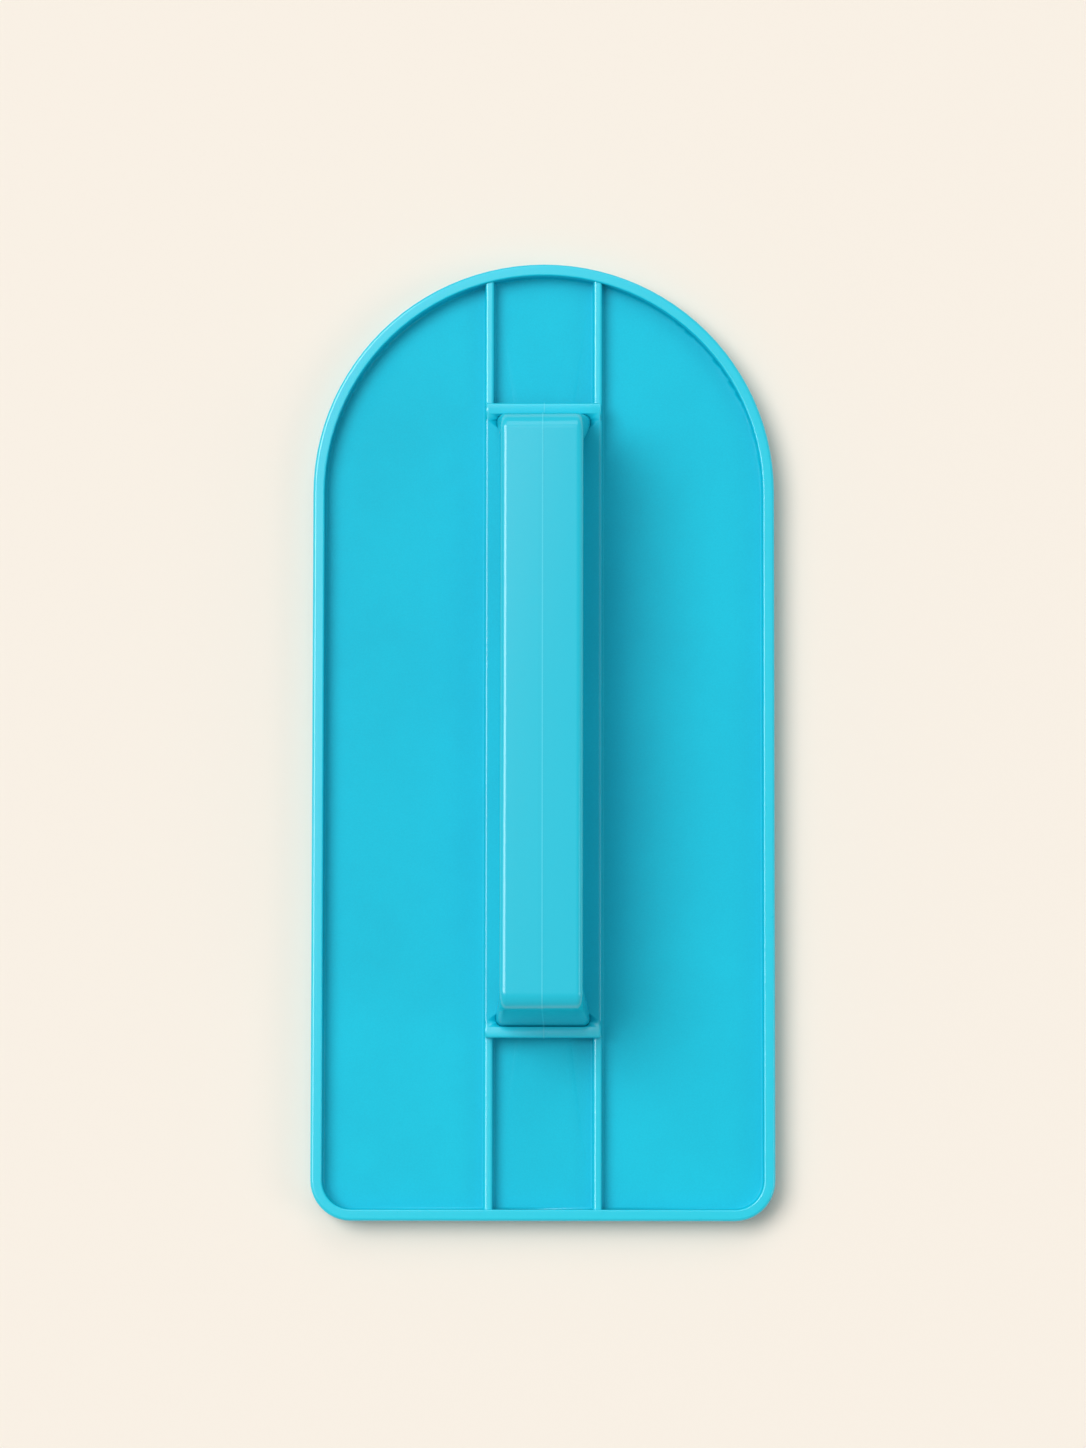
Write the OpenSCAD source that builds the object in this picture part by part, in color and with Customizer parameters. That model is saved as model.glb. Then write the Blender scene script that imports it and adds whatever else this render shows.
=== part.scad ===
// Icing smoother: a flat paddle with a rim and two ribs, a base rail that
// straddles the ribs, and an arched grip that plugs into the base rail.
// The paddle lies on its smooth sole at z = 0, the grip is on top, the
// length runs along Y and the rounded end is at +Y. Millimetres.

/* [Plate] */
// Width of the paddle
plate_w = 80; // [64:1:100]
// Length of the paddle from the square end to the top of the rounded end
plate_l = 166; // [150:1:210]
// Radius of the two corners at the square end, seen from above
corner_r = 7; // [4:0.5:14]
// Thickness of the flat sole web
web_t = 2.4; // [1.6:0.1:4]
// Rounding of the sole's outer edge
sole_edge_r = 0.5; // [0.2:0.05:1]

/* [Rim] */
// Height of the rim above the recessed floor
rim_h = 3.2; // [2.6:0.1:6]
// Width of the rim's top land with its rounded edges
rim_w = 2; // [1.4:0.1:3.5]
// Rounding of the rim's outer top edge
rim_outer_r = 0.55; // [0.2:0.05:0.8]
// Rounding of the rim's inner top edge
rim_inner_r = 0.3; // [0.15:0.05:0.5]
// Fillet where the rim and the ribs meet the floor
floor_fillet_r = 0.45; // [0.2:0.05:0.8]

/* [Ribs] */
// Distance between the middles of the two long ribs
rib_pitch = 18.8; // [17.5:0.1:22]
// Width of a rib
rib_w = 1.5; // [1:0.1:2.5]
// How far the rib tops lie below the rim top
rib_drop = 0.4; // [0.2:0.1:1]
// Rounding of a rib's top edges
rib_edge_r = 0.45; // [0.15:0.05:0.45]

/* [Base rail] */
// Length of the base rail
base_l = 110; // [90:1:120]
// How far the handle stands toward the rounded end from the paddle's middle
handle_shift = 3.4; // [-6:0.1:8]
// Thickness of the rail's side strips above the ribs
strip_t = 1.2; // [0.9:0.1:2.5]
// Height of the end lips above the strips
lip_h = 1; // [0.6:0.1:1.8]
// Length of a lip's flat top
lip_flat_l = 1.8; // [1.2:0.1:3]
// Length of the ramp from a lip down to the strips
lip_ramp_l = 1.2; // [0.6:0.1:2]
// How far a lip's sides are set in from the strips' sides
lip_inset = 0.15; // [0.05:0.05:0.4]
// Rounding of the rail's top edges
rail_edge_r = 0.45; // [0.15:0.05:0.5]
// Radius of the rail's four corners, seen from above
rail_corner_r = 0.7; // [0.4:0.1:1.5]
// How far the keel between the ribs runs past the outer face of each foot
keel_past = 0.5; // [0.4:0.1:0.9]
// Gap between the keel and the floor
keel_floor_gap = 0.6; // [0.55:0.05:1]

/* [Grip] */
// Height of the grip's top above the base rail's strips
grip_h = 20.6; // [16:0.1:34]
// Width of the bar that the hand holds
grip_w = 14.1; // [11:0.1:15]
// Thickness of the bar
bar_t = 5.4; // [4:0.1:8]
// Width of a foot at the base rail
foot_w = 16.2; // [15.2:0.1:16.6]
// Thickness of a leg at its foot
foot_t = 2.7; // [2.4:0.1:4]
// How far the outer face of each foot stands inside the rail's end
foot_setback = 2; // [1:0.1:6]
// How far the outer face of a leg leans in between foot and bar
leg_lean = 2.5; // [1:0.1:5]
// Rounding of the grip where the bar turns down into a leg, outside
turn_outer_r = 3; // [2:0.1:5]
// Rounding of the grip where the bar turns down into a leg, inside
turn_inner_r = 5; // [2:0.1:7]
// Rounding of the grip's long edges
grip_edge_r = 1.15; // [0.6:0.05:1.15]

/* [Joints] */
// Diameter of the two locating pins on the paddle
pin_d = 4; // [3:0.1:6]
// Distance between the two locating pins
pin_pitch = 64; // [40:1:76]
// Width of the tenon under each foot
tenon_w = 11; // [8:0.1:14]
// Thickness of the tenon under each foot
tenon_t = 1.5; // [1:0.1:2]
// Depth of the tenon in the base rail
tenon_depth = 1.6; // [1:0.1:1.9]
// Depth of the shallow seat that each foot stands in
seat_depth = 0.4; // [0.2:0.05:0.6]
// Clearance all round between parts that plug together
fit_gap = 0.05; // [0.05:0.01:0.2]

/* [Hidden] */
$fn = 96;
eps = 0.01;
lap = 0.4;
cut_over = 1;
end_r = plate_w / 2;
end_y = plate_l / 2 - end_r;
rim_top = web_t + rim_h;
rib_top = rim_top - rib_drop;
rib_x = rib_pitch / 2;
rib_inner_x = rib_x - rib_w / 2;
rim_inset = rim_w + floor_fillet_r + lap;
rail_w = rib_pitch + rib_w;
strip_top = rib_top + strip_t;
lip_top = strip_top + lip_h;
keel_w = 2 * (rib_inner_x - 2 * fit_gap);
keel_z = web_t + keel_floor_gap;
pin_top = rib_top - 2 * fit_gap;
seat_z = strip_top - seat_depth;
grip_top = strip_top + grip_h;
bar_under = grip_top - bar_t;
foot_half = base_l / 2 - foot_setback;
foot_mid = foot_half - foot_t / 2;
keel_half = foot_half + keel_past;
lean_slope = leg_lean / (grip_h - turn_outer_r);
edge_steps = 5;
turn_steps = 8;

// Rounding bit for one corner of a profile: what lies outside the arc
module corner_bit(r) {
    difference() {
        translate([-1, -1]) square([r + 1, r + 1]);
        translate([r, r]) circle(r);
    }
}

// Fillet between a wall along +Y at x = 0 and a floor along +X at y = 0
module fillet_bit(r) {
    difference() {
        translate([-lap / 2, -lap / 2]) square(r + lap / 2);
        translate([r, r]) circle(r);
    }
}

// Upright rectangle with its two top corners rounded
module capped_bar(w, h, r) {
    difference() {
        translate([-w / 2, 0]) square([w, h]);
        for (side = [-1, 1])
            translate([side * w / 2, h]) mirror([side > 0 ? 1 : 0, 0])
                mirror([0, 1]) corner_bit(r);
    }
}

// Section of the rim and the sole's edge: x is the distance in from the side
module rim_section() {
    difference() {
        union() {
            square([rim_inset, web_t]);
            square([rim_w, rim_top]);
        }
        corner_bit(sole_edge_r);
        translate([0, rim_top]) mirror([0, 1]) corner_bit(rim_outer_r);
        translate([rim_w, rim_top]) mirror([1, 0]) mirror([0, 1])
            corner_bit(rim_inner_r);
    }
    translate([rim_w, web_t]) fillet_bit(floor_fillet_r);
}

// The same section turned round an upright axis at the given radius
module rim_turn(r, angle) {
    rotate_extrude(angle = angle) translate([r, 0]) mirror([1, 0]) rim_section();
}

// Plan of the paddle, drawn the given distance inside its outline
module paddle_plan(inset) {
    half_w = plate_w / 2 - inset;
    foot_y = -plate_l / 2 + inset;
    r = corner_r - inset;
    translate([0, end_y]) circle(end_r - inset, $fn = 2 * $fn);
    translate([-half_w, foot_y + r]) square([2 * half_w, end_y - foot_y - r]);
    translate([-half_w + r, foot_y]) square([2 * (half_w - r), r + eps]);
    for (side = [-1, 1]) translate([side * (half_w - r), foot_y + r]) circle(r);
}

module rim() {
    side_l = end_y + plate_l / 2 - corner_r;
    corner_x = plate_w / 2 - corner_r;
    corner_y = -plate_l / 2 + corner_r;
    translate([0, end_y, 0]) rim_turn(end_r, 180, $fn = 2 * $fn);
    for (side = [0, 1]) mirror([side, 0, 0]) {
        translate([-plate_w / 2, end_y, 0]) rotate([90, 0, 0])
            linear_extrude(side_l) rim_section();
        translate([-corner_x, corner_y, 0]) rotate([0, 0, 180])
            rim_turn(corner_r, 90);
    }
    translate([-corner_x, -plate_l / 2, 0]) rotate([90, 0, 90])
        linear_extrude(2 * corner_x) rim_section();
}

module rib() {
    reach_x = rib_x + rib_w / 2 + floor_fillet_r;
    head_y = end_y + sqrt(pow(end_r - rim_w / 2, 2) - pow(reach_x, 2));
    tail_y = -plate_l / 2 + rim_w / 2;
    height = rib_top - web_t;
    translate([rib_x, head_y, web_t]) rotate([90, 0, 0])
        linear_extrude(head_y - tail_y) {
            capped_bar(rib_w, height, rib_edge_r);
            for (side = [0, 1]) mirror([side, 0])
                translate([rib_w / 2, 0]) fillet_bit(floor_fillet_r);
        }
}

module locating_pin(d, z, top) {
    translate([0, 0, z]) cylinder(h = top - z, d = d, $fn = 48);
}

module paddle_plate() {
    color([0.22, 0.79, 0.87]) {
        rim();
        linear_extrude(web_t) paddle_plan(rim_inset - lap / 2);
        for (side = [0, 1]) mirror([side, 0, 0]) rib();
        for (end = [-1, 1]) translate([0, handle_shift + end * pin_pitch / 2, 0])
            locating_pin(pin_d, web_t - lap, pin_top);
    }
}

// Side view of one end lip: flat top, rounded end edge, ramp to the strips
module lip_side() {
    difference() {
        polygon([
            [0, rib_top], [0, lip_top], [-lip_flat_l, lip_top],
            [-lip_flat_l - lip_ramp_l, strip_top - eps],
            [-lip_flat_l - lip_ramp_l, rib_top]
        ]);
        translate([0, lip_top]) mirror([1, 0]) mirror([0, 1])
            corner_bit(rail_edge_r);
    }
}

module end_lip() {
    w = rail_w - 2 * lip_inset;
    intersection() {
        translate([-w / 2, base_l / 2, 0]) rotate([90, 0, 90])
            linear_extrude(w) lip_side();
        translate([0, base_l / 2, rib_top]) rotate([90, 0, 0])
            linear_extrude(base_l / 4) capped_bar(w, lip_top - rib_top, rail_edge_r);
    }
}

// Plan of the rail, with its corners rounded
module rail_plan() {
    half_w = rail_w / 2 - rail_corner_r;
    half_l = base_l / 2 - rail_corner_r;
    square([rail_w, 2 * half_l], center = true);
    square([2 * half_w, base_l], center = true);
    for (x = [-half_w, half_w], y = [-half_l, half_l])
        translate([x, y]) circle(rail_corner_r, $fn = 32);
}

// Plan of a foot, grown by a clearance
module foot_plan(gap) {
    r = min(grip_edge_r, foot_t / 2 - eps) + gap;
    half_w = foot_w / 2 + gap - r;
    half_t = foot_t / 2 + gap - r;
    square([foot_w + 2 * gap, 2 * half_t], center = true);
    square([2 * half_w, foot_t + 2 * gap], center = true);
    for (x = [-half_w, half_w], y = [-half_t, half_t])
        translate([x, y]) circle(r, $fn = 32);
}

module rail_body() {
    intersection() {
        union() {
            translate([0, base_l / 2, rib_top]) rotate([90, 0, 0])
                linear_extrude(base_l) capped_bar(rail_w, strip_t, rail_edge_r);
            for (end = [0, 1]) mirror([0, end, 0]) end_lip();
        }
        translate([0, 0, rib_top - cut_over])
            linear_extrude(lip_top - rib_top + 2 * cut_over) rail_plan();
    }
    translate([-keel_w / 2, -keel_half, keel_z])
        cube([keel_w, 2 * keel_half, rib_top - keel_z + strip_t / 2]);
}

module base_rail() {
    color([0.2, 0.77, 0.86]) translate([0, handle_shift, 0]) difference() {
        rail_body();
        for (end = [-1, 1]) {
            translate([0, end * foot_mid, seat_z]) linear_extrude(lip_h + strip_t)
                foot_plan(fit_gap);
            translate([0, end * foot_mid, seat_z - tenon_depth - fit_gap])
                linear_extrude(tenon_depth + strip_t)
                    square([tenon_w + 2 * fit_gap, tenon_t + 2 * fit_gap], center = true);
            translate([0, end * pin_pitch / 2, 0])
                locating_pin(pin_d + 2 * fit_gap, keel_z - cut_over, rib_top);
        }
    }
}

// Points along an arc in the Y-Z plane
function arc(y, z, r, from, to) = [
    for (i = [0:turn_steps]) let (a = from + (to - from) * i / turn_steps)
        [y + r * cos(a), z + r * sin(a)]
];

// Outer edge of one half of the arch, from the foot to the middle
lean_a = atan(lean_slope);
outer_turn_y = foot_half - leg_lean - turn_outer_r * (1 - lean_slope);
outer_side = concat(
    [[foot_half, seat_z], [foot_half, strip_top]],
    arc(outer_turn_y, grip_top - turn_outer_r, turn_outer_r, lean_a, 90),
    [[0, grip_top]]
);
// Inner edge of the same half, point for point
inner_foot_y = foot_half - foot_t;
inner_turn_y = outer_turn_y - turn_inner_r + turn_outer_r - bar_t + foot_t / 2;
inner_side = concat(
    [[inner_foot_y, seat_z], [inner_foot_y, strip_top]],
    arc(inner_turn_y, bar_under - turn_inner_r, turn_inner_r, lean_a, 90),
    [[0, bar_under]]
);
half_count = len(outer_side);

// Both edges over the whole arch, from the +Y foot to the -Y foot
function whole(side) = concat(side, [
    for (i = [1:half_count - 1]) let (p = side[half_count - 1 - i]) [-p[0], p[1]]
]);
outer_path = whole(outer_side);
inner_path = whole(inner_side);

// Width of the arch at a height: widest at the feet
function width_at(z) = grip_w
    + (foot_w - grip_w) * max(0, min(1, (bar_under - z) / (bar_under - strip_top)));

// Closed ring of points round the arch between an outer and an inner point
function ring(outer, inner) =
    let (
        mid = (outer + inner) / 2,
        t = norm(outer - inner),
        dir = (outer - inner) / t,
        w = width_at(mid[1]),
        r = min(grip_edge_r, t / 2 - eps)
    ) [
        for (q = [0:3], i = [0:edge_steps])
            let (
                a = 90 * q + 90 * i / edge_steps,
                sx = (q == 0 || q == 3) ? 1 : -1,
                st = (q == 0 || q == 1) ? 1 : -1,
                x = sx * (w / 2 - r) + r * cos(a),
                u = st * (t / 2 - r) + r * sin(a)
            )
            [x, mid[0] + u * dir[0], mid[1] + u * dir[1]]
    ];

module arch() {
    rings = [for (i = [0:len(outer_path) - 1]) ring(outer_path[i], inner_path[i])];
    n = len(rings[0]);
    m = len(rings);
    points = [for (loop = rings, p = loop) p];
    sides = [
        for (j = [0:m - 2], i = [0:n - 1])
            let (a = j * n + i, b = j * n + (i + 1) % n)
            each [[a, b + n, b], [a, a + n, b + n]]
    ];
    last = (m - 1) * n;
    first_cap = [for (i = [1:n - 2]) [0, i, i + 1]];
    last_cap = [for (i = [1:n - 2]) [last, last + i + 1, last + i]];
    polyhedron(points, concat(sides, first_cap, last_cap));
}

module grip() {
    color([0.26, 0.8, 0.89]) translate([0, handle_shift, 0]) {
        arch();
        for (end = [-1, 1])
            translate([0, end * foot_mid, seat_z - tenon_depth])
                linear_extrude(tenon_depth + seat_depth)
                    square([tenon_w, tenon_t], center = true);
    }
}

paddle_plate();
base_rail();
grip();
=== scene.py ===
# %% [markdown]
# This lesson gives a cake smoother its look: a flat paddle with an arched grip, all
# in turquoise plastic, lying on its smooth sole. Its three moulded pieces come from
# the packed frame, in metres. Each is shown by a copy of its frame mesh, because the
# frame's own meshes are never changed.

# %% Load the frame
import math

import bpy
from mathutils import Matrix, Vector


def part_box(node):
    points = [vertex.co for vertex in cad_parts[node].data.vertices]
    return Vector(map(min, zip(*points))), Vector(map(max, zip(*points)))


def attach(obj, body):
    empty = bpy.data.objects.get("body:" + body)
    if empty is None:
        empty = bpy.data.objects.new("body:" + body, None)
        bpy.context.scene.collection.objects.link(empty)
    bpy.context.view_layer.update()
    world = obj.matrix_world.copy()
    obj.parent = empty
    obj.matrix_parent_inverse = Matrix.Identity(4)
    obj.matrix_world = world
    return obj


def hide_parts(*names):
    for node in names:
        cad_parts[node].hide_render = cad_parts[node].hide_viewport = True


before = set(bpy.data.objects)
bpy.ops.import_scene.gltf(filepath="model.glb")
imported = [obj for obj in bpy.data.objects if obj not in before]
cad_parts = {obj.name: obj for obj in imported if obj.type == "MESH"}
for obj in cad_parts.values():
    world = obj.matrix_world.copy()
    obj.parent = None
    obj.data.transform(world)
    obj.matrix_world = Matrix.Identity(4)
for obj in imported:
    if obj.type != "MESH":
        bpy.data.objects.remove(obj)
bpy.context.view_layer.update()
MM = 0.001
scene = bpy.context.scene
print("nodes:", sorted(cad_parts))

# %% [markdown]
# The photograph shows the rimmed side almost square on, from a little towards the
# square end, so the grip's top stands a touch higher in the picture than its foot. A
# long lens about a metre away gives the same nearly straight sides. A track constraint
# would roll the camera, so a matrix of its own right, up and backward directions
# turns it instead.

# %% Camera at the photograph's viewing angle
RIM_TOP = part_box("paddle_plate")[1].z
CAMERA_RISE = 1.0
AIM = Vector((-0.05 * MM, 2.66 * MM, RIM_TOP))
CAMERA_PLACE = Vector((15.0 * MM, -80.7 * MM, RIM_TOP + CAMERA_RISE))
LENS_MM, SENSOR_MM = 144.3, 36
NEAREST_SEEN, FARTHEST_SEEN = 0.02, 20


def aim_camera(place, aim):
    """Add a camera whose picture has the rounded end at its top."""
    look = (aim - place).normalized()
    right = (Vector((1, 0, 0)) - look * look.x).normalized()
    up = right.cross(look)
    turn = Matrix((right, up, -look)).transposed()
    bpy.ops.object.camera_add(location=place)
    camera = bpy.context.object
    camera.name = "camera"
    camera.matrix_world = Matrix.Translation(place) @ turn.to_4x4()
    camera.data.lens = LENS_MM
    camera.data.sensor_width = SENSOR_MM
    camera.data.clip_start = NEAREST_SEEN
    camera.data.clip_end = FARTHEST_SEEN
    return camera


scene.camera = aim_camera(CAMERA_PLACE, AIM)
print("camera looks from", tuple(round(v, 3) for v in CAMERA_PLACE))

# %% [markdown]
# A large soft light from the upper left casts the broad shadow beside the grip and
# gives rounded edges their bright line. A still wider one from the same side softens
# the shadow. Two weak ones, beyond the rounded end and on the right, pick out the
# edges that face them. Area lamps could do the same, but a sun lamp's strength is
# the same all over the tool. With the world, they light a level surface at about
# strength one, so that a colour renders as it is written.

# %% Lights


def toward(azimuth_deg, height_deg):
    """The direction to a light: its turn from +X towards +Y, and its height."""
    turn, rise = math.radians(azimuth_deg), math.radians(height_deg)
    return Vector((math.cos(rise) * math.cos(turn), math.cos(rise) * math.sin(turn),
                   math.sin(rise)))


def add_sun(name, side, strength, width_deg):
    """Add a sun lamp on one side. The wider it is, the softer its shadow."""
    bpy.ops.object.light_add(type="SUN")
    lamp = bpy.context.object
    lamp.name = name
    lamp.rotation_euler = side.to_track_quat("Z", "Y").to_euler()
    lamp.data.energy = strength
    lamp.data.angle = math.radians(width_deg)
    print(name, "strength", strength)


UPPER_LEFT = toward(150, 60)
add_sun("wide_soft_light", UPPER_LEFT, strength=0.8, width_deg=52)
add_sun("key_light", UPPER_LEFT, strength=1.35, width_deg=34)
add_sun("end_light", toward(85, 45), strength=0.3, width_deg=30)
add_sun("right_light", toward(-10, 35), strength=0.3, width_deg=24)

# The Standard view shows a colour as it is written.
scene.view_settings.view_transform = "Standard"

# %% [markdown]
# A material's nodes could be added and linked one by one, but a formula is easier to
# read. So this class wraps one output socket, and each operator on it adds a Math
# node behind the scenes. Only the operators that the formulas below need are here.

# %% Shader maths as Python expressions


class Wire:
    """One output socket, on which Python's operators work."""

    def __init__(self, socket):
        self.socket = socket

    def _math(self, kind, first, second):
        made = self.socket.id_data.nodes.new("ShaderNodeMath")
        made.operation = kind
        plug(made, {0: first, 1: second})
        return Wire(made.outputs[0])

    def __add__(self, other):
        return self._math("ADD", self, other)

    __radd__ = __add__

    def __sub__(self, other):
        return self._math("SUBTRACT", self, other)

    def __rsub__(self, other):
        return self._math("SUBTRACT", other, self)

    def __mul__(self, other):
        return self._math("MULTIPLY", self, other)

    __rmul__ = __mul__


def plug(node, sockets):
    """Give a node's inputs, by name or number, their values or their wires."""
    for key, value in sockets.items():
        if isinstance(value, Wire):
            node.id_data.links.new(value.socket, node.inputs[key])
        else:
            node.inputs[key].default_value = value


print("a wire can be added, subtracted and multiplied")

# %% [markdown]
# Every other node comes from one method, which takes the node's type, its settings
# and its inputs. It belongs to a look, which is a material or the world together
# with the shader that it starts with. A few short methods name what the plastics use
# most: a point's place, a colour mix, a soft step and a cloudy noise.

# %% One method for any other node
# A Mix node has inputs for numbers and vectors too, so those for colours go by number.
MIX_MASK, MIX_FROM, MIX_TO, MIXED_COLOUR = 0, 6, 7, 2


class Look:
    """A material or the world, with its nodes and its first shader."""

    def __init__(self, owner, shader="Principled BSDF"):
        owner.use_nodes = True
        self.owner = owner
        self.tree = owner.node_tree
        self.shader = self.tree.nodes[shader]

    def node(self, kind, settings=None, sockets=None, output=0):
        """Add a node of any type, and give back one of its outputs."""
        made = self.tree.nodes.new(kind)
        for key, value in (settings or {}).items():
            setattr(made, key, value)
        plug(made, sockets or {})
        return Wire(made.outputs[output])

    def place(self):
        """Where a point lies on the piece, in metres."""
        return self.node("ShaderNodeTexCoord", output="Object")

    def along(self, axis):
        """How far along X, Y or Z a point lies on the piece, in metres."""
        return self.node("ShaderNodeSeparateXYZ", sockets={"Vector": self.place()},
                         output=axis)

    def mix(self, mask, colour_from, colour_to):
        """The first colour where a mask is 0, the second where it is 1."""
        return self.node("ShaderNodeMix", {"data_type": "RGBA"},
                         {MIX_MASK: mask, MIX_FROM: colour_from, MIX_TO: colour_to},
                         output=MIXED_COLOUR)

    def step(self, value, start, full):
        """A soft step from 0 at start to 1 at full."""
        return self.node("ShaderNodeMapRange", {"interpolation_type": "SMOOTHSTEP"},
                         {"Value": value, "From Min": start, "From Max": full})

    def noise(self, per_metre, detail):
        """Clouds between 0 and 1, so many to a metre."""
        return self.node("ShaderNodeTexNoise", sockets={
            "Vector": self.place(), "Scale": per_metre, "Detail": detail})


print("a look can make:", [name for name in vars(Look) if not name.startswith("_")])

# %% [markdown]
# The background is plain and pale. More light would make it pale too, but would
# bleach the tool, so the camera sees a pale world while the tool is lit by a weaker
# white one.

# %% World
FILL_STRENGTH = 0.36
WHITE = (1, 1, 1, 1)
PALE = (0.93, 0.9, 0.86, 1)

sky = Look(bpy.data.worlds.new("studio"), "Background")
scene.world = sky.owner
plug(sky.shader, {"Color": WHITE, "Strength": FILL_STRENGTH})
seen_by_camera = sky.node("ShaderNodeLightPath", output="Is Camera Ray")
pale_light = sky.node("ShaderNodeBackground", sockets={"Color": PALE})
fill_light = Wire(sky.shader.outputs[0])
either = sky.node("ShaderNodeMixShader",
                  sockets={0: seen_by_camera, 1: fill_light, 2: pale_light})
plug(sky.tree.nodes["World Output"], {"Surface": either})
print("world lights at", FILL_STRENGTH, "and is seen as", PALE)

# %% [markdown]
# The floor is one plain matt plane in nearly the same colour, large enough that no
# view shows its edge near the tool. It lies a hair below the sole, so that the two
# surfaces never flicker through each other.

# %% Floor
FLOOR_COLOUR = (0.88, 0.81, 0.72, 1)
FLOOR_ROUGHNESS = 0.8
FLOOR_WIDTH = 6
SOLE_CLEARANCE = 0.05 * MM

floor_look = Look(bpy.data.materials.new("pale_floor"))
plug(floor_look.shader, {"Base Color": FLOOR_COLOUR, "Roughness": FLOOR_ROUGHNESS})
bpy.ops.object.select_all(action="DESELECT")
bpy.ops.mesh.primitive_plane_add(size=FLOOR_WIDTH, location=(0, 0, -SOLE_CLEARANCE))
floor = bpy.context.object
floor.name = "floor"
floor.data.materials.append(floor_look.owner)
print(floor.name, FLOOR_WIDTH, "m across")

# %% [markdown]
# All pieces are moulded in the same turquoise plastic. Its colour drifts slightly, as
# where the melt flowed, and a fine grain speckles it. A raised part is smoother: it
# has less grain and speckle, and takes its own top colour, broken up by light scuffs.
# On the paddle and rail that top colour is painted light: a lighter teal where light
# falls on the tops of the rim, ribs and lips.
# A thin clear coat gives the rounded edges their bright line. An image could carry
# all this, but noise needs no unwrapping and is sharp from near and far. It is read
# in object coordinates, so the pattern stays fixed to the piece.

# %% Turquoise plastic
TEAL = (0.001, 0.54, 0.71, 1)
TEAL_DEEP = (0.0005, 0.485, 0.655, 1)
BLOTCHES_PER_M, FLOW_PER_M, GRAIN_PER_M, SCUFFS_PER_M = 45, 260, 3400, 900
BLOTCH_SHARE, FLOW_SHARE = 0.7, 0.3
DRIFT_START, DRIFT_FULL, DRIFT_DEPTH = 0.36, 0.64, 0.4
SPECKLE_START, SPECKLE_FULL, SPECKLE_DEPTH = 0.3, 0.7, 0.45
SPECKLE_LOST_ON_TOP, GRAIN_LOST_ON_TOP = 0.75, 0.8
TOP_COLOUR_SHARE, TOP_COLOUR_SCUFFED = 0.75, 0.25
SCUFF_ROUGHNESS, SCUFF_RELIEF, SCUFF_MIDDLE = 0.12, 0.25, 0.5
BUMP_STRENGTH = 0.35
PLASTIC_IOR, SPECULAR = 1.5, 0.2
COAT_ROUGHNESS, COAT_IOR = 0.12, 1.9


def matt_to_satin(matt, satin, mask):
    """The matt roughness where a mask is 0, the satin one where it is 1."""
    return matt + (satin - matt) * mask


def plastic(look, raised, roughness, coat, grain_depth, top_colour):
    """Give a look the turquoise plastic. Raised is a mask, or 1 for all over."""
    blotch = look.noise(BLOTCHES_PER_M, detail=2.0)
    flow = look.noise(FLOW_PER_M, detail=4.0)
    grain = look.noise(GRAIN_PER_M, detail=2.0)
    scuff = look.noise(SCUFFS_PER_M, detail=3.0)

    drift = look.step(BLOTCH_SHARE * blotch + FLOW_SHARE * flow, DRIFT_START, DRIFT_FULL)
    speckle = look.step(grain, SPECKLE_START, SPECKLE_FULL)
    deepening = DRIFT_DEPTH * drift \
        + SPECKLE_DEPTH * speckle * (1 - SPECKLE_LOST_ON_TOP * raised)
    moulded = look.mix(deepening, TEAL, TEAL_DEEP)
    # On the paddle and rail the top colour is painted light, a lighter teal for the lit
    # tops.
    topped = raised * (TOP_COLOUR_SHARE + TOP_COLOUR_SCUFFED * scuff)
    relief = grain * (1 - GRAIN_LOST_ON_TOP * raised) + SCUFF_RELIEF * scuff
    bump = look.node("ShaderNodeBump", sockets={
        "Strength": BUMP_STRENGTH, "Distance": grain_depth, "Height": relief})
    plug(look.shader, {
        "Base Color": look.mix(topped, moulded, top_colour),
        "Roughness": roughness + SCUFF_ROUGHNESS * (scuff - SCUFF_MIDDLE),
        "Normal": bump,
        "IOR": PLASTIC_IOR,
        "Specular IOR Level": SPECULAR,
        "Coat Weight": coat,
        "Coat Roughness": COAT_ROUGHNESS,
        "Coat IOR": COAT_IOR,
    })
    print(look.owner.name, "has", len(look.tree.nodes), "nodes")


# %% [markdown]
# The paddle's recessed floor is matt, with a fine grain as from a textured mould,
# and its rim and ribs turn satin towards their tops. The coat covers all but the
# floor: fillets, walls, ribs and rim. The parts could each have their own material,
# but height alone tells them apart, and a soft step hides where they meet.

# %% Paddle plastic
# A lighter teal painted on the tops of the rim, ribs and lips, as light falling on them.
TEAL_TOP_PAINTED_LIGHT = (0.008, 0.61, 0.775, 1)
RECESS_DEPTH = 3.2 * MM
RECESS_FLOOR = RIM_TOP - RECESS_DEPTH
SATIN_START, SATIN_FULL = RECESS_FLOOR + 1.0 * MM, RECESS_FLOOR + 2.2 * MM
COAT_START, COAT_FULL = RECESS_FLOOR + 0.02 * MM, RECESS_FLOOR + 0.2 * MM
MATT_FLOOR, SATIN_RIM = 0.5, 0.3
COAT_WEIGHT = 0.5

paddle_look = Look(bpy.data.materials.new("paddle_plastic"))
height = paddle_look.along("Z")
raised = paddle_look.step(height, SATIN_START, SATIN_FULL)
above_floor = paddle_look.step(height, COAT_START, COAT_FULL)
plastic(paddle_look, raised,
        roughness=matt_to_satin(MATT_FLOOR, SATIN_RIM, raised),
        coat=COAT_WEIGHT * above_floor,
        grain_depth=0.03 * MM, top_colour=TEAL_TOP_PAINTED_LIGHT)

# %% [markdown]
# The rail's two flat strips are nearly matt and its lips are satin. The coat lies on
# the lips and on the rounded long edges of the strips. A point's height tells the
# lips from the strips, and its distance from the middle finds the edges.

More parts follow.
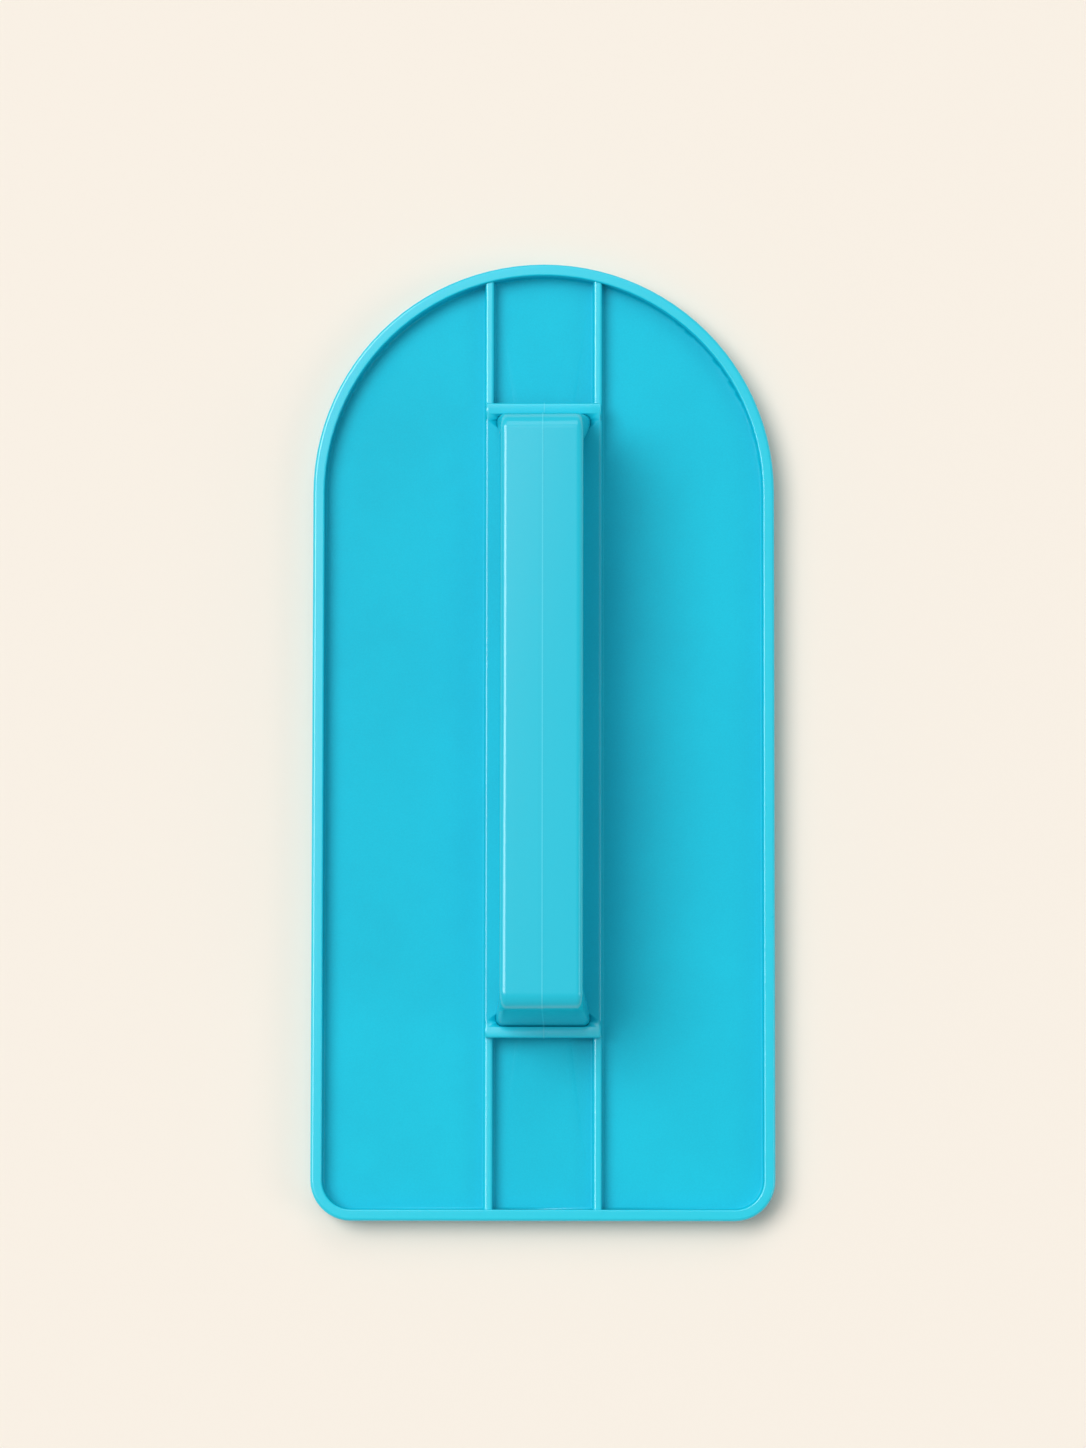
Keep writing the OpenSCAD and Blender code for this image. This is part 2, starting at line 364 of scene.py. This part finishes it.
# %% Rail plastic
RAIL_SIDE, _, LIP_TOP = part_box("base_rail")[1]
LIP_HEIGHT = 1.0 * MM
STRIP_TOP = LIP_TOP - LIP_HEIGHT
LIP_SATIN_START, LIP_SATIN_FULL = STRIP_TOP + 0.1 * MM, STRIP_TOP + 0.8 * MM
LIP_COAT_START, LIP_COAT_FULL = STRIP_TOP + 0.2 * MM, STRIP_TOP + 0.6 * MM
EDGE_COAT_START, EDGE_COAT_FULL = RAIL_SIDE - 0.65 * MM, RAIL_SIDE - 0.35 * MM
MATT_STRIP, SATIN_LIP = 0.45, 0.3

rail_look = Look(bpy.data.materials.new("rail_plastic"))
height, across = rail_look.along("Z"), rail_look.along("X")
raised = rail_look.step(height, LIP_SATIN_START, LIP_SATIN_FULL)
lips = rail_look.step(height, LIP_COAT_START, LIP_COAT_FULL)
left_edge = rail_look.step(across, -EDGE_COAT_START, -EDGE_COAT_FULL)
right_edge = rail_look.step(across, EDGE_COAT_START, EDGE_COAT_FULL)
lips_and_edges = 1 - (1 - left_edge) * (1 - right_edge) * (1 - lips)
# The lips take the lighter teal too, which is painted light on their tops.
plastic(rail_look, raised,
        roughness=matt_to_satin(MATT_STRIP, SATIN_LIP, raised),
        coat=COAT_WEIGHT * lips_and_edges,
        grain_depth=0.015 * MM, top_colour=TEAL_TOP_PAINTED_LIGHT)

# %% [markdown]
# The grip is satin all over, and so is the fine line that runs along it, which is a
# little paler: a painted highlight along the ridge. Height could mask them too, but it
# would find them raised all over.
# So their mask is just 1, and their coat is one number, written on the shader.

# %% Grip and line plastic
TEAL_GRIP = (0.004, 0.53, 0.69, 1)
# A paler teal painted on the line as the highlight that the ridge catches.
TEAL_LINE_PAINTED_HIGHLIGHT = (0.06, 0.64, 0.78, 1)
ALL_OVER = 1

grip_look = Look(bpy.data.materials.new("grip_plastic"))
plastic(grip_look, ALL_OVER, roughness=0.34, coat=0.42,
        grain_depth=0.012 * MM, top_colour=TEAL_GRIP)
line_look = Look(bpy.data.materials.new("parting_line_plastic"))
plastic(line_look, ALL_OVER, roughness=0.35, coat=0.3,
        grain_depth=0.01 * MM, top_colour=TEAL_LINE_PAINTED_HIGHLIGHT)

# %% [markdown]
# A frame mesh arrives as loose triangles. Its copy is welded into one skin and shaded
# smooth up to a chosen angle, so fine rounding catches a clean line of light while
# sharp steps stay sharp. Smooth shading alone would leave fans of shade on the large
# flat faces, so the normals are weighted towards the largest face at each corner.

# %% Weld, smooth and finish a piece
WELD_DISTANCE = 0.002 * MM
SKIN_SMOOTH_DEG = 32
# A weight of 50 would let all faces at a corner count by their plain size.
LARGEST_FACE_LEADS = 100


def only(piece):
    """Select one piece and nothing else."""
    bpy.ops.object.select_all(action="DESELECT")
    piece.select_set(True)
    bpy.context.view_layer.objects.active = piece


def copied(source, name):
    """A new piece with its own copy of a mesh, selected alone."""
    piece = bpy.data.objects.new(name, source.data.copy())
    scene.collection.objects.link(piece)
    only(piece)
    return piece


def welded_copy(node, name):
    """A skin made of a node's loose triangles."""
    skin = copied(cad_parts[node], name)
    bpy.ops.object.mode_set(mode="EDIT")
    bpy.ops.mesh.select_all(action="SELECT")
    bpy.ops.mesh.remove_doubles(threshold=WELD_DISTANCE)
    bpy.ops.object.mode_set(mode="OBJECT")
    return skin


def finished(skin, look, smooth_deg=SKIN_SMOOTH_DEG):
    """Shade a skin, and give it its material, its slot and its body."""
    only(skin)
    bpy.ops.object.shade_smooth_by_angle(angle=math.radians(smooth_deg))
    even = skin.modifiers.new("even_light", "WEIGHTED_NORMAL")
    even.keep_sharp = True
    even.weight = LARGEST_FACE_LEADS
    bpy.ops.object.modifier_apply(modifier="even_light")
    skin.data.materials.clear()
    skin.data.materials.append(look.owner)
    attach(skin, "root")
    print(skin.name, len(skin.data.polygons), "faces")


print("skins are welded at", WELD_DISTANCE / MM, "mm and smooth to", SKIN_SMOOTH_DEG, "deg")

# %% [markdown]
# The paddle is the flat blade that glides over the icing, with a raised rim round
# its upper side and two long ribs. The CAD has its exact shape already, so a welded
# copy of its mesh is all that it needs.

# %% Paddle
paddle = welded_copy("paddle_plate", "paddle_skin")
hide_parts("paddle_plate")
finished(paddle, paddle_look)

# %% [markdown]
# The rail sits over the two ribs, carries the grip, and has a raised lip at each end.
# It is made in the same way. Its finish follows the lips and edges by their place, so
# the skin needn't be cut into parts for it.

# %% Rail
rail = welded_copy("base_rail", "rail_skin")
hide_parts("base_rail")
finished(rail, rail_look)

# %% [markdown]
# The grip is the arch that the hand holds. Its turns are many small flat faces in
# the CAD. More faces would make them rounder, but the smooth shading hides the steps
# as well.

# %% Grip
grip = welded_copy("grip", "grip_skin")
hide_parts("grip")
finished(grip, grip_look)

# %% [markdown]
# A fine raised line runs along the middle of the grip and over the lips of the rail,
# taken for the line where two halves of a mould met. Bump could only hint at it. So
# it is a thin slice cut out of a copy of each skin, which follows every turn, and it
# gets a thickness, half of which stands above the surface.

# %% Parting line from a thin slice of a skin
LINE_LEFT, LINE_RIGHT = 0.04 * MM, 0.26 * MM
LINE_THICKNESS = 0.12 * MM
LINE_SMOOTH_DEG = 30


def parting_line(skin, name):
    """Keep what lies between two planes, and thicken it to both sides."""
    ridge = copied(skin, name)
    bpy.ops.object.mode_set(mode="EDIT")
    for side, clear_low in ((LINE_LEFT, True), (LINE_RIGHT, False)):
        bpy.ops.mesh.select_all(action="SELECT")
        bpy.ops.mesh.bisect(plane_co=(side, 0, 0), plane_no=(1, 0, 0),
                            clear_inner=clear_low, clear_outer=not clear_low)
    bpy.ops.object.mode_set(mode="OBJECT")
    wall = ridge.modifiers.new("thickness", "SOLIDIFY")
    wall.thickness = LINE_THICKNESS
    wall.offset = 0
    bpy.ops.object.modifier_apply(modifier="thickness")
    finished(ridge, line_look, LINE_SMOOTH_DEG)


parting_line(grip, "grip_parting_line")
parting_line(rail, "rail_parting_line")

# %% [markdown]
